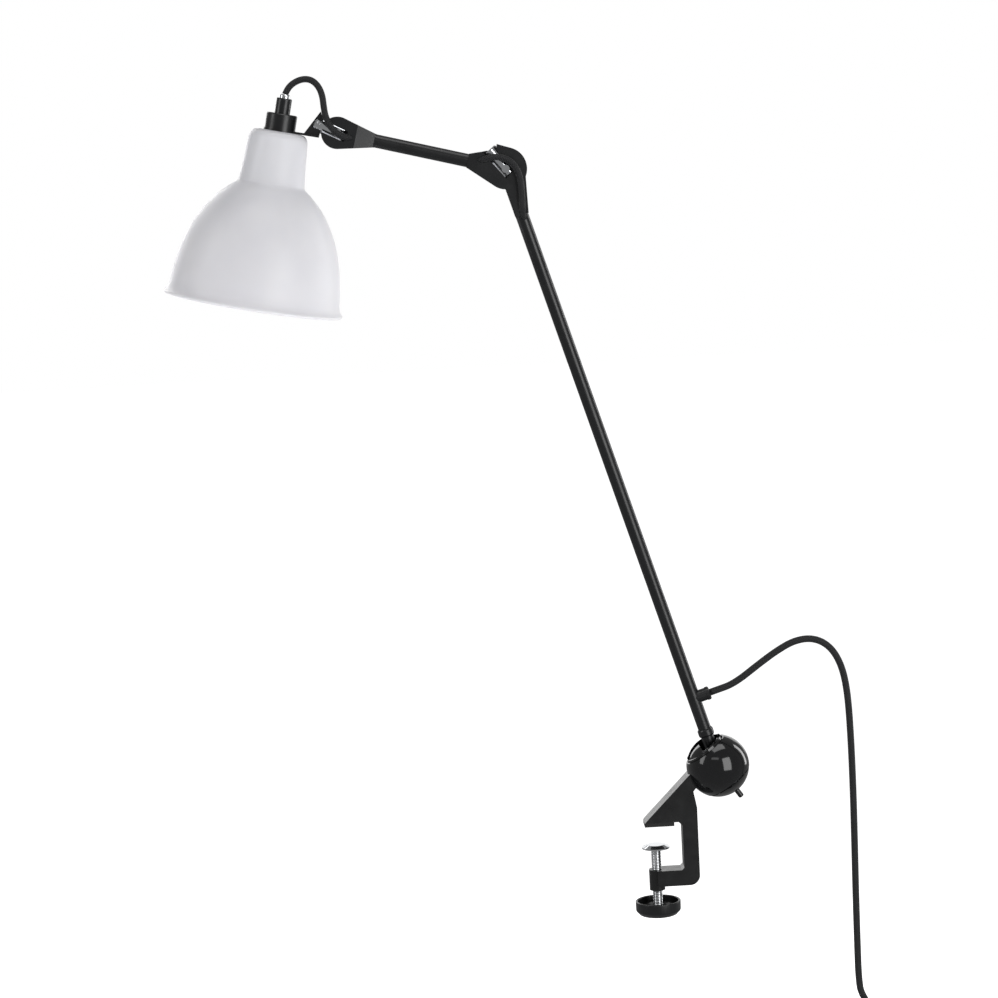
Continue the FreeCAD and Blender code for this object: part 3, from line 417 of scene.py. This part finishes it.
# %% Nickel on brass for the plug's pins, the bulb's cap and the contacts
nickel, tree, shader = finish_named("nickel_plated_brass", Metallic=1.0, Roughness=0.22)
tone(tree, shader, grain(tree, 3.0), "#c9c3b4", "#ddd8cb")
tree.links.new(spread(tree, grain(tree, 1.5, 3.0), 0.18, 0.3), shader.inputs["Roughness"])

# %% [markdown]
# The shade is blown opal glass with an etched, satin outside. Light enters, scatters a
# few millimetres and comes out again, so the bell looks soft and a little lit from
# inside. Subsurface scattering does that, and a fine bump is the etching.

# %% Satin opal glass
opal, tree, shader = finish_named("satin_opal_glass", Roughness=0.42, IOR=1.5, Subsurface_Weight=0.55,
                                  Subsurface_Scale=0.006, Subsurface_Radius=(1.0, 0.95, 0.9))
tone(tree, shader, grain(tree, 40.0, 2.0), "#c6c6cb", "#d2d2d5")
tree.links.new(spread(tree, grain(tree, 25.0), 0.38, 0.48), shader.inputs["Roughness"])
raise_surface(tree, shader, grain(tree, 0.8, 2.0), 0.00002, 0.4)

# %% [markdown]
# The bulb is frosted, so the light spreads inside its glass too. It is made as the shade
# is, a little whiter and glossier.

# %% Frosted glass of the bulb
frosted, tree, shader = finish_named("frosted_bulb_glass", Roughness=0.25, IOR=1.5, Subsurface_Weight=0.7,
                                     Subsurface_Scale=0.004)
tone(tree, shader, grain(tree, 20.0), "#eeeeea", "#f6f6f2")
raise_surface(tree, shader, grain(tree, 1.0, 2.0), 0.00002, 0.3)

# %% [markdown]
# Moulded plastic shows the faint texture of its mould. Rubber is duller, so its roughness
# is high. Glazed ceramic is smooth, and needs no bump.

# %% Plastic for the plug and lampholder, rubber for jaw and tie, ceramic insulator
plastic, tree, shader = finish_named("moulded_abs", Roughness=0.45, IOR=1.53)
tone(tree, shader, grain(tree, 5.0), "#151617", "#1d1e1f")
raise_surface(tree, shader, grain(tree, 0.35, 2.0), 0.00003, 0.6)
rubber, tree, shader = finish_named("moulded_rubber", Roughness=0.75, IOR=1.5)
tone(tree, shader, grain(tree, 4.0), "#131313", "#1c1c1c")
raise_surface(tree, shader, grain(tree, 0.5, 3.0), 0.00006, 0.7)
ceramic, tree, shader = finish_named("glazed_ceramic", Roughness=0.2, IOR=1.5)
tone(tree, shader, grain(tree, 8.0), "#dedbd2", "#e8e5dc")

# %% [markdown]
# The cord wears a braided sleeve of black rayon. A braid is two sets of yarns that wind
# opposite ways and pass over and under each other, so two slanted waves, one for each
# way, are compared and the higher one shows. The yarns are drawn broad, 1.1 mm, so that
# the braid can be seen.

# %% Braided rayon sleeve
YARN_MM = 1.1
YARNS_ROUND = 8
braid, tree, shader = finish_named("braided_rayon_sleeve", Roughness=0.6, IOR=1.45, Sheen_Weight=0.12,
                                   Sheen_Roughness=0.4)
uv = add(tree, "UVMap", uv_map="weave").outputs["UV"]
parts = add(tree, "SeparateXYZ", {"Vector": uv})
yarn_waves = []
for way in (1.0, -1.0):
    around = add(tree, "Math", {0: parts.outputs["X"], 1: 2 * math.pi * YARNS_ROUND * way},
                 operation="MULTIPLY")
    along = add(tree, "Math", {0: parts.outputs["Y"], 1: 2 * math.pi * per_mm(2 * YARN_MM)},
                operation="MULTIPLY")
    phase = add(tree, "Math", {0: around.outputs[0], 1: along.outputs[0]}, operation="ADD")
    yarn_waves.append(add(tree, "Math", {0: phase.outputs[0]}, operation="SINE").outputs[0])
over = add(tree, "Math", {0: yarn_waves[0], 1: yarn_waves[1]}, operation="MAXIMUM").outputs[0]
height = add(tree, "MapRange", {"Value": over, "From Min": -1.0, "From Max": 1.0}).outputs["Result"]
# Painted shade: the colour follows the yarn height, darker down between the yarns and lighter on their
# crests; the bump below uses the same height.
tone(tree, shader, height, "#050506", "#17181a")
raise_surface(tree, shader, height, 0.00025, 0.8)

# %% [markdown]
# Every CAD node now gets its finish. A real edge is never perfectly sharp, so most parts
# get a narrow bevel that catches a line of light. The parts in PLAIN_EDGES go without,
# as a bevel gives noise on the barrels and the grip, and the rest are hardly seen.

# %% Finishes on the CAD parts
FINISHES = {
    satin_black: ["long_arm_tube", "long_arm_hook", "arm_collar", "short_arm_elbow_fork", "short_arm_tube",
                  "short_arm_head_fork", "head_bracket", "holder_collar", "holder_neck", "cord_gland",
                  "gland_nut", "short_arm_ring"],
    cast_black: ["clamp_frame", "wheel_cap", "ball_axle"],
    gloss_black: ["ball_upper_cap", "ball_lower_cap"],
    chrome: ["pressure_pad", "elbow_barrel", "head_barrel", "elbow_screw", "head_screw", "elbow_nut",
             "head_nut", "cord_grip"],
    steel: ["arm_foot", "arm_pivot_pin", "ball_spring_washer", "socket_nipple"],
    nickel: ["bulb_cap", "socket_thread", "centre_contact", "plug_pins"],
    plastic: ["socket_shell", "plug_relief"],
    rubber: ["jaw_pad"],
    ceramic: ["socket_insulator"],
    braid: ["long_arm_lead", "short_arm_lead"],
}
ROUNDED_EDGES = {"clamp_frame": 1.1, "short_arm_elbow_fork": 0.5, "short_arm_head_fork": 0.5,
                 "long_arm_hook": 0.8}
FINE_EDGE = 0.35
PLAIN_EDGES = {"elbow_barrel", "head_barrel", "cord_grip", "long_arm_lead", "short_arm_lead",
               "ball_axle", "centre_contact", "socket_thread"}
EDGE_ANGLE = math.radians(35)


def dress(thing, material):
    """One material on the whole of a piece."""
    thing.data.materials.clear()
    thing.data.materials.append(material)


for material, names in FINISHES.items():
    for name in names:
        node = NODES[name]
        for held in node.material_slots:
            held.link = "OBJECT"
            held.material = material
        if name not in PLAIN_EDGES:
            soft = node.modifiers.new("edge", "BEVEL")
            soft.width = ROUNDED_EDGES.get(name, FINE_EDGE) * MM
            soft.segments = 3
            soft.limit_method = "ANGLE"
            soft.angle_limit = EDGE_ANGLE
            soft.harden_normals = True
print("finished CAD parts", sum(len(names) for names in FINISHES.values()))


# %% [markdown]
# Turned and blown pieces have one outline swept round an axis. `spun` makes them from
# corners, and `eased` first rounds the corners with a small arc, so that highlights run
# over the edges as they do on spun metal and fire-polished glass.

# %% Turning outlines into pieces
def eased(corners, reach, steps=4):
    """Round each inner corner of an outline with a curve of this reach."""
    smooth = [Vector(corners[0])]
    for before, corner, after in zip(corners, corners[1:], corners[2:]):
        before, corner, after = Vector(before), Vector(corner), Vector(after)
        near = min(reach, 0.45 * (corner - before).length, 0.45 * (after - corner).length)
        start = corner + (before - corner).normalized() * near
        end = corner + (after - corner).normalized() * near
        for step in range(steps + 1):
            share = step / steps
            smooth.append(start.lerp(corner, share).lerp(corner.lerp(end, share), share))
    return smooth + [Vector(corners[-1])]


def spun(name, outline, matrix, around=96):
    """Sweep (radius, height) points in millimetres round the frame's Z axis."""
    build = bmesh.new()
    rings = []
    for radius, height in outline:
        if radius < 1e-6:
            rings.append([build.verts.new(matrix @ (Vector((0, 0, height)) * MM))])
            continue
        ring = []
        for step in range(around):
            turn = 2 * math.pi * step / around
            ring.append(build.verts.new(matrix @ (Vector((radius * math.cos(turn), radius * math.sin(turn),
                                                          height)) * MM)))
        rings.append(ring)
    for low, high in zip(rings, rings[1:]):
        for step in range(around):
            far = (step + 1) % around
            if len(low) == 1 and len(high) > 1:
                build.faces.new((low[0], high[far], high[step]))
            elif len(high) == 1 and len(low) > 1:
                build.faces.new((low[step], low[far], high[0]))
            elif len(low) > 1:
                build.faces.new((low[step], low[far], high[far], high[step]))
    if outline[0][0] > 1e-6 and (Vector(outline[0]) - Vector(outline[-1])).length < 1e-6:
        bmesh.ops.remove_doubles(build, verts=build.verts, dist=1e-7)
    return link_mesh(name, build)


def flowing(points, steps=8):
    """A smooth curve through every point (Catmull-Rom)."""
    held = [Vector(p) for p in points]
    held = [held[0] * 2 - held[1]] + held + [held[-1] * 2 - held[-2]]
    line = []
    for a, b, c, d in zip(held, held[1:], held[2:], held[3:]):
        for step in range(steps):
            s = step / steps
            line.append(0.5 * ((2 * b) + (c - a) * s + (2 * a - 5 * b + 4 * c - d) * s * s
                               + (3 * b - a - 3 * c + d) * s ** 3))
    return line + [held[-2]]


# %% [markdown]
# The shade's outline: a straight neck with a rounded top, a bell that opens fast and
# then falls almost straight, and a lip that flares at the very end and is fire-polished
# round. The inside follows it one wall thickness further in.

# %% Shade
WALL = 3.0
TOP_HOLE = 5.1
RIM_DROP = 0.5
RIM_CROWN = Vector((0.3, -0.9))
NECK = [(TOP_HOLE, 0.0), (15.0, 0.0), (19.6, -1.0), (22.0, -3.6), (23.0, -8.0), (24.2, -24.0), (25.5, -38.0)]
BELL = [(26.6, -42.0), (32.0, -46.4), (40.6, -54.8), (48.6, -65.6), (56.0, -80.0), (61.6, -97.0),
        (65.2, -116.0), (66.4, -126.0)]
LIP = [(67.6, -131.0), (70.0, -134.2)]
outside = [Vector(NECK[0])] + flowing(NECK[1:] + BELL + LIP)
inside = []
for before, here, after in zip(outside, outside[1:], outside[2:]):
    along = (after - before).normalized()
    inward = Vector((along.y, -along.x))
    if inward.x > 0 or (abs(inward.x) < 0.2 and inward.y > 0):
        inward = -inward
    inside.append(here + inward * WALL)
edge = outside[-1]
inner_edge = inside[-1]
rim = [edge + Vector((0.0, -RIM_DROP)), edge.lerp(inner_edge, 0.5) + RIM_CROWN,
       inner_edge + Vector((0.0, -RIM_DROP))]
inside = [p for p in inside if p.y < -WALL and p.x > TOP_HOLE + 0.2]
shade_outline = outside + rim + inside[::-1] + [Vector((TOP_HOLE, -WALL)), Vector((TOP_HOLE, 0.0))]
shade = spun("opal_glass_shade", shade_outline, HEAD, 160)
dress(shade, opal)
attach(shade, "head")
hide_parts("shade")
print("shade points", len(shade_outline))

# %% [markdown]
# The bulb hangs in the shade from its cap: a neck that widens into a round globe.

# %% Bulb
BULB_CENTRE = -84.0
BULB_RADIUS = 22.5
neck_points = [(6.6, -46.0), (8.6, -48.0), (9.0, -55.0), (11.4, -62.6)]
globe = [(BULB_RADIUS * math.sin(math.radians(a)), BULB_CENTRE + BULB_RADIUS * math.cos(math.radians(a)))
         for a in range(40, 181, 10)]
bulb_tip = Vector((0.0, BULB_CENTRE - BULB_RADIUS))
bulb = spun("frosted_bulb", flowing(neck_points + globe[:-1]) + [bulb_tip], HEAD)
dress(bulb, frosted)
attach(bulb, "head")
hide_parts("bulb_glass")

# %% [markdown]
# The clamp's screw has a real thread. Its surface is a helix: the radius at each point
# depends on how far the point is from the crest that winds past it.

# %% Threaded clamp screw
SCREW_X = -3.3
PITCH = 1.25
SCREW_TOP = -17.5
THREAD_TOP = -20.6
SCREW_END = -68.5
THREAD_STEPS = 9
ROOT_RADIUS = 3.74
THREAD_DEPTH = 0.22
FLANK_SLOPE = 3.6
CREST_SHARE = 1.4
BAR_END = ((3.2, THREAD_TOP + 0.5), (3.0, -19.5), (3.0, SCREW_TOP))


def thread_radius(height, turn):
    """Crest, flank and root of the thread at this height and turn."""
    phase = (height / PITCH + turn) % 1.0
    depth = min(1.0, max(0.0, CREST_SHARE - abs(phase - 0.5) * FLANK_SLOPE))
    return ROOT_RADIUS + THREAD_DEPTH * depth


def threaded_bar():
    """The threaded length from its low end up, then the plain end in the pad."""
    build = bmesh.new()
    around = 40
    rows = int((THREAD_TOP - SCREW_END) / PITCH * THREAD_STEPS)
    heights = [SCREW_END + (THREAD_TOP - SCREW_END) * row / rows for row in range(rows + 1)]
    rings = []
    for height in heights:
        ring = []
        for step in range(around):
            share = step / around
            turn = 2 * math.pi * share
            radius = thread_radius(height, -share)
            ring.append(build.verts.new(Vector((SCREW_X + radius * math.cos(turn), radius * math.sin(turn),
                                                height)) * MM))
        rings.append(ring)
    for radius, height in BAR_END:
        rings.append([build.verts.new(Vector((SCREW_X + radius * math.cos(2 * math.pi * k / around),
                                              radius * math.sin(2 * math.pi * k / around), height)) * MM)
                      for k in range(around)])
    for low, high in zip(rings, rings[1:]):
        for step in range(around):
            far = (step + 1) % around
            build.faces.new((low[step], low[far], high[far], high[step]))
    build.faces.new(rings[0])
    build.faces.new(rings[-1])
    return link_mesh("threaded_clamp_screw", build)


screw = threaded_bar()
dress(screw, chrome)
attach(screw, "screw")
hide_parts("clamp_screw")

# %% [markdown]
# The hand wheel is a shallow spun dish that is open towards the clamp. Its rim is
# rolled, and fine grooves round the outside give the fingers a grip.

# %% Hand wheel
GROOVES = 48
GROOVE_SHARE = 0.014
GROOVED_FROM = 17.6 * MM
GROOVED_LOW = -69.2 * MM
GROOVED_HIGH = -62.4 * MM
WHEEL_FRAME = Matrix.Translation(Vector((SCREW_X, 0, 0)) * MM)
wheel_outline = eased([(4.0, -67.2), (7.2, -67.2), (8.6, -71.2), (14.4, -71.2), (16.2, -67.4), (16.2, -61.9),
                       (17.1, -61.5), (18.0, -61.9), (18.0, -69.4), (14.6, -73.0), (4.0, -73.0)], 1.1)
wheel_outline = wheel_outline + [wheel_outline[0]]
wheel = spun("hand_wheel_dish", wheel_outline, WHEEL_FRAME, 144)
for vertex in wheel.data.vertices:
    across = Vector((vertex.co.x - SCREW_X * MM, vertex.co.y))
    if across.length > GROOVED_FROM and GROOVED_LOW < vertex.co.z < GROOVED_HIGH:
        groove = 0.5 + 0.5 * math.cos(GROOVES * math.atan2(across.y, across.x))
        shrink = 1.0 - GROOVE_SHARE * groove
        vertex.co.x = SCREW_X * MM + across.x * shrink
        vertex.co.y = across.y * shrink
dress(wheel, satin_black)
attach(wheel, "screw")
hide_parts("hand_wheel")

# %% [markdown]
# The plug is moulded round its pins, and gets narrower towards the cord. It is built
# from rings of a rounded rectangle, one above the other: each entry of PLUG_RINGS gives
# a ring's height and its width as shares of the whole.

# %% Plug body
plug_low, plug_high = (Vector(corner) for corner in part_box("plug_body"))
PLUG_RINGS = ((0.0, 0.90), (0.02, 0.985), (0.12, 1.0), (0.3, 0.985), (0.5, 0.93), (0.62, 0.9),
              (0.78, 0.84), (0.9, 0.72), (0.97, 0.6), (1.0, 0.48))
BROAD_SQUARENESS = 0.45
NARROW_SQUARENESS = 0.6


def plug_mesh():
    """Rings of a rounded rectangle, narrower towards the cord."""
    centre = (plug_low + plug_high) / 2
    size = plug_high - plug_low
    build = bmesh.new()
    around = 48
    rings = []
    for share, wide in PLUG_RINGS:
        ring = []
        for step in range(around):
            turn = 2 * math.pi * step / around
            c, s = math.cos(turn), math.sin(turn)
            x = math.copysign(abs(c) ** BROAD_SQUARENESS, c) * size.x / 2 * wide
            y = math.copysign(abs(s) ** NARROW_SQUARENESS, s) * size.y / 2 * (0.25 + 0.75 * wide)
            z = plug_low.z + size.z * share
            ring.append(build.verts.new((centre.x + x, centre.y + y, z)))
        rings.append(ring)
    for low, high in zip(rings, rings[1:]):
        for step in range(around):
            far = (step + 1) % around
            build.faces.new((low[step], low[far], high[far], high[step]))
    build.faces.new(rings[0])
    build.faces.new(rings[-1])
    return link_mesh("moulded_plug", build)


plug = plug_mesh()
dress(plug, plastic)
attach(plug, "turret")
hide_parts("plug_body")

# %% [markdown]
# A rubber band holds the coil's turns together at one side. It is a flat ring that goes
# round the bundle.

# %% Coil tie
TIE_RADIUS = 9.6 * MM
TIE_HALF_WIDTH = 4.5 * MM
TIE_THICK = 0.5 * MM


def tie_band():
    """A flat ring round the coil's bundle, on its +X side."""
    build = bmesh.new()
    centre = (COIL_CENTRE + Vector((COIL_RADIUS, 0, 0))) * MM
    rings = []
    around = 48
    for step in range(around):
        turn = 2 * math.pi * step / around
        out = Vector((math.cos(turn), math.sin(turn), 0))
        ring = [build.verts.new(centre + out * r + Vector((0, 0, z))) for r, z in (
            (TIE_RADIUS, -TIE_HALF_WIDTH), (TIE_RADIUS + TIE_THICK, -TIE_HALF_WIDTH),
            (TIE_RADIUS + TIE_THICK, TIE_HALF_WIDTH), (TIE_RADIUS, TIE_HALF_WIDTH))]
        rings.append(ring)
    for step in range(around):
        near, far = rings[step], rings[(step + 1) % around]
        for side in range(4):
            other = (side + 1) % 4
            build.faces.new((near[side], near[other], far[other], far[side]))
    return link_mesh("coil_tie", build)


tie = tie_band()
dress(tie, rubber)
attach(tie, "turret")

# %% [markdown]
# The cord and the leads are dressed in their braid, their placing is baked into their meshes, and the CAD's
# plain cord and leads are hidden. Each one crosses a joint on the real lamp.

# %% Braid on the cord and the leads
dress(power_cord, braid)
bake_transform(power_cord)
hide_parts("power_cord", "cord_coil", "cord_tail")
dress(elbow_lead, braid)
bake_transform(elbow_lead)
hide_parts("elbow_lead")
dress(head_lead, braid)
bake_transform(head_lead)
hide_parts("head_lead")

# %% [markdown]
# A plain pale studio starts with a wide paper floor below the lamp. It gives off a little
# light of its own, so that it comes out near white.

# %% Floor
FLOOR_DROP = 0.30
FLOOR_HALF = 12.0
FLOOR_GLOW = 0.78
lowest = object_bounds()[0]
floor_build = bmesh.new()
bmesh.ops.create_grid(floor_build, x_segments=1, y_segments=1, size=FLOOR_HALF)
floor = link_mesh("studio_floor", floor_build)
floor.location.z = lowest[2] - FLOOR_DROP
floor.visible_glossy = False
floor_finish, tree, shader = finish_named("matt_white_paper", Roughness=0.9)
tone(tree, shader, grain(tree, 60.0), "#fafafa", "#ffffff")
shader.inputs["Emission Color"].default_value = linear("#ffffff")
shader.inputs["Emission Strength"].default_value = FLOOR_GLOW
dress(floor, floor_finish)

# %% [markdown]
# A white world stands all round for soft light. Gloss paint shows whatever is around it,
# and in an all-white room it would turn grey. So mirrored rays meet a dimmer room. The
# Standard view transform keeps the white behind the lamp white.

# %% White room
ROOM_SEEN = 1.0
ROOM_ON_MATT = 0.33
ROOM_IN_GLOSS = 0.24
world = bpy.data.worlds.new("studio")
bpy.context.scene.world = world
bpy.context.scene.view_settings.view_transform = "Standard"
world.use_nodes = True
room = world.node_tree
room.nodes.clear()
rays = add(room, "LightPath").outputs
softened = add(room, "MapRange", {"Value": rays["Is Camera Ray"], "To Min": ROOM_ON_MATT,
                                  "To Max": ROOM_SEEN})
strength = add(room, "MapRange", {"Value": rays["Is Glossy Ray"], "To Min": softened.outputs["Result"],
                                  "To Max": ROOM_IN_GLOSS})
paper = add(room, "Background", {"Color": linear("#ffffff"), "Strength": strength.outputs["Result"]})
add(room, "OutputWorld", {"Surface": paper.outputs["Background"]})

# %% [markdown]
# Large panels light the lamp and show in its gloss paint and chrome as highlights. The
# camera doesn't see the panels themselves.

# %% Panels
def soft_light(name, place, aim, width, height, power):
    """A large panel light at a place, turned to an aim."""
    data = bpy.data.lights.new(name, "AREA")
    data.shape = "RECTANGLE"
    data.size = width
    data.size_y = height
    data.energy = power
    light = bpy.data.objects.new(name, data)
    bpy.context.scene.collection.objects.link(light)
    light.location = place
    light.visible_camera = False
    light.rotation_euler = (Vector(aim) - Vector(place)).to_track_quat("-Z", "Y").to_euler()


soft_light("front_window", (0.95, -1.5, 0.5), (0.05, 0.0, 0.1), 0.95, 1.45, 15)
soft_light("left_window", (-1.9, -0.7, 1.2), (-0.2, 0.0, 0.4), 0.6, 1.4, 7)
soft_light("top_panel", (0.1, -0.4, 2.2), (-0.1, 0.0, 0.3), 1.6, 0.8, 9)
soft_light("right_edge", (1.6, 0.9, 0.6), (0.0, 0.0, 0.2), 0.4, 1.6, 8)
soft_light("back_window", (-1.1, 1.7, 0.9), (-0.1, 0.0, 0.3), 0.8, 1.3, 9)
soft_light("back_sheet", (0.1, 2.3, 0.55), (0.0, 0.0, 0.3), 2.6, 1.3, 9)
soft_light("front_sheet", (-0.7, -2.7, 2.2), (0.0, 0.0, 0.3), 1.6, 0.5, 3)
